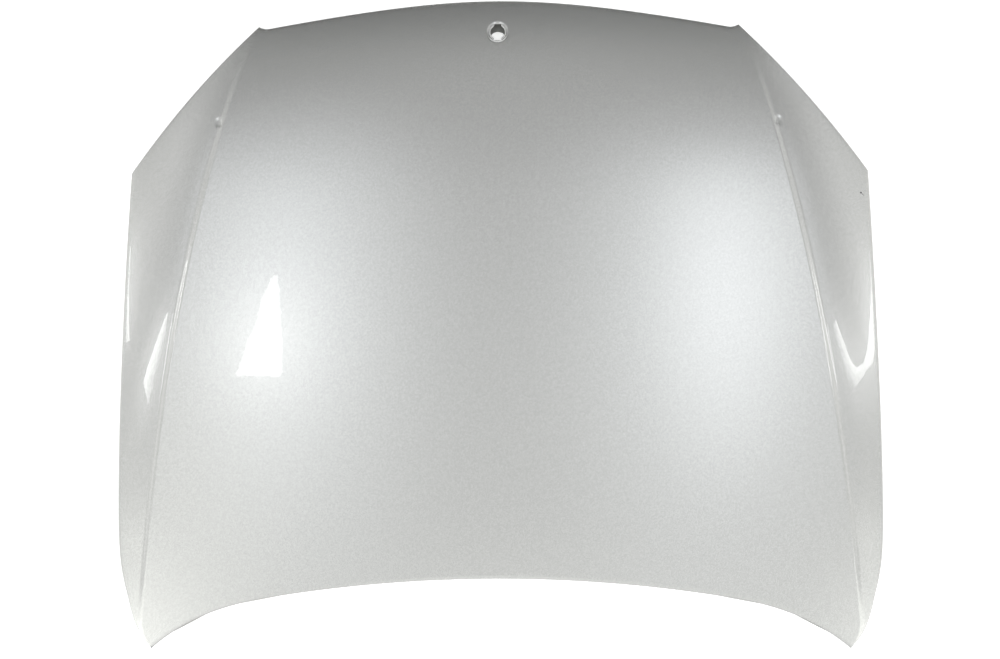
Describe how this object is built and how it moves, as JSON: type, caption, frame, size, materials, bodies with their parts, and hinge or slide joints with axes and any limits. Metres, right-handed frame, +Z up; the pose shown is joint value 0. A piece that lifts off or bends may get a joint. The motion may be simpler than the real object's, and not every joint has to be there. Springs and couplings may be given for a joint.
{
  "type": "car bonnet",
  "caption": "Silver car bonnet with a crowned middle, two creases running to the nose, slanted headlight cuts, a hemmed edge, a ribbed inner panel and an empty round badge seat.",
  "frame": {"origin": "middle of the surface that the bonnet lies on, below the middle of its bounding box", "axes": "+X across the car, +Y forward to the nose, +Z up through the outer skin"},
  "size_m": [1.5202, 1.2884, 0.1395],
  "materials": {
    "silver_paint": "silver metallic paint with clear coat",
    "body_colour_primer": "thin body colour over grey primer, satin",
    "zinc_steel": "zinc-plated steel",
    "mastic": "soft dark anti-flutter adhesive"
  },
  "bodies": {
    "root": {"outer_panel": "silver_paint", "inner_panel": "body_colour_primer", "hinge_reinforcement_left": "zinc_steel", "hinge_reinforcement_right": "zinc_steel", "hinge_nut_left_rear": "zinc_steel", "hinge_nut_left_front": "zinc_steel", "hinge_nut_right_rear": "zinc_steel", "hinge_nut_right_front": "zinc_steel", "latch_reinforcement": "zinc_steel", "latch_nut_left": "zinc_steel", "latch_nut_right": "zinc_steel", "striker_plate": "zinc_steel", "striker_loop": "zinc_steel", "striker_bolt_left": "zinc_steel", "striker_bolt_right": "zinc_steel", "mastic_pad_1": "mastic", "mastic_pad_2": "mastic", "mastic_pad_3": "mastic", "mastic_pad_4": "mastic", "mastic_pad_5": "mastic", "mastic_pad_6": "mastic", "mastic_pad_7": "mastic", "mastic_pad_8": "mastic", "mastic_pad_9": "mastic", "mastic_pad_10": "mastic"}
  },
  "joints": []
}
